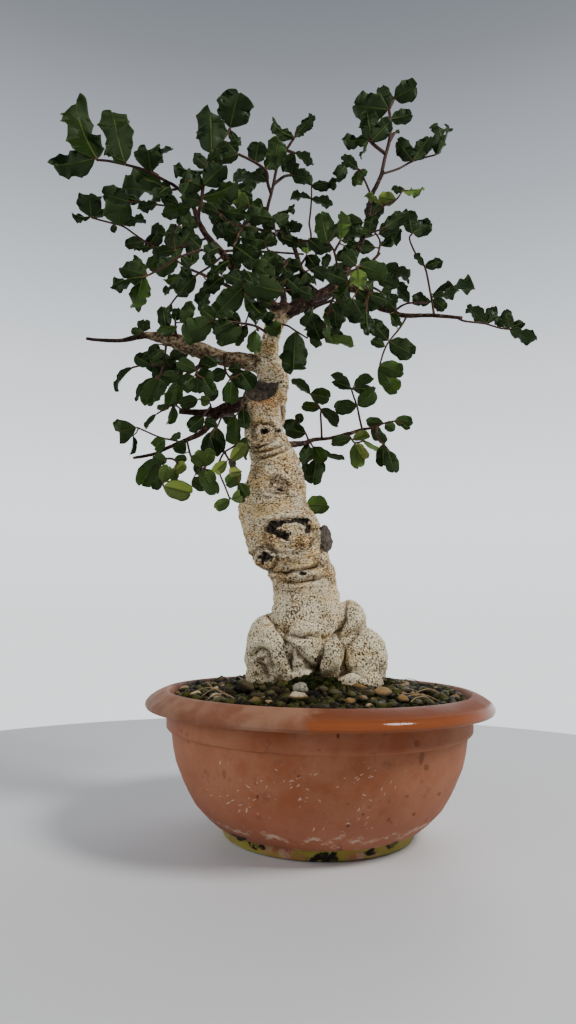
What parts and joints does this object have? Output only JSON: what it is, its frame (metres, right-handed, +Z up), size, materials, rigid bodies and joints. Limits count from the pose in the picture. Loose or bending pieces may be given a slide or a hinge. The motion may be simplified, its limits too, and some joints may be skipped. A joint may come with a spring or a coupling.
{
  "type": "carob bonsai",
  "caption": "Small carob tree trained as a bonsai, with a bare fluted trunk and an open crown of paired leaflets, growing in a round rimmed pot.",
  "frame": {"origin": "middle of the pot's foot, on its flat underside", "axes": "+Z up the tree, +X to the right and -Y towards the viewer in the picture"},
  "size_m": [0.4314, 0.28, 0.6915],
  "materials": {
    "pot": "glossy moulded plastic, weathered",
    "soil": "loose grit and soil",
    "bark": "matt speckled bark",
    "leaves": "satin leaf"
  },
  "bodies": {
    "root": {"pot": "pot", "soil": "soil", "trunk": "bark", "spray_back_left": "leaves", "spray_back_low": "leaves", "spray_back_middle": "leaves", "spray_back_right": "leaves", "spray_behind_trunk": "leaves", "spray_below_left_limb": "leaves", "spray_centre_dark": "leaves", "spray_centre_front": "leaves", "spray_centre_low": "leaves", "spray_centre_right": "leaves", "spray_centre_top": "leaves", "spray_cut_stub": "leaves", "spray_front_left": "leaves", "spray_hanging_leaf": "leaves", "spray_high_left_crown": "leaves", "spray_leader_left": "leaves", "spray_leader_low": "leaves", "spray_leader_right": "leaves", "spray_leader_side": "leaves", "spray_leader_top": "leaves", "spray_left_broad": "leaves", "spray_left_drooping": "leaves", "spray_left_front": "leaves", "spray_left_high": "leaves", "spray_left_lower": "leaves", "spray_left_middle": "leaves", "spray_low_left_inner": "leaves", "spray_low_left_middle": "leaves", "spray_low_left_outer": "leaves", "spray_low_left_purple": "leaves", "spray_low_left_tip": "leaves", "spray_low_right_back": "leaves", "spray_low_right_first": "leaves", "spray_low_right_front": "leaves", "spray_low_right_second": "leaves", "spray_low_right_tip": "leaves", "spray_middle_left": "leaves", "spray_on_left_limb": "leaves", "spray_right_high": "leaves", "spray_right_low": "leaves", "spray_right_middle": "leaves", "spray_right_tip": "leaves", "spray_side_twig": "leaves", "spray_slender_centre": "leaves", "spray_stub_leaves": "leaves", "spray_top_centre": "leaves", "spray_under_left_inner": "leaves", "spray_under_left_limb": "leaves", "spray_upper_left_tip": "leaves", "spray_upper_middle_end": "leaves", "spray_upper_middle_front": "leaves", "spray_upper_middle_left": "leaves"}
  },
  "joints": []
}
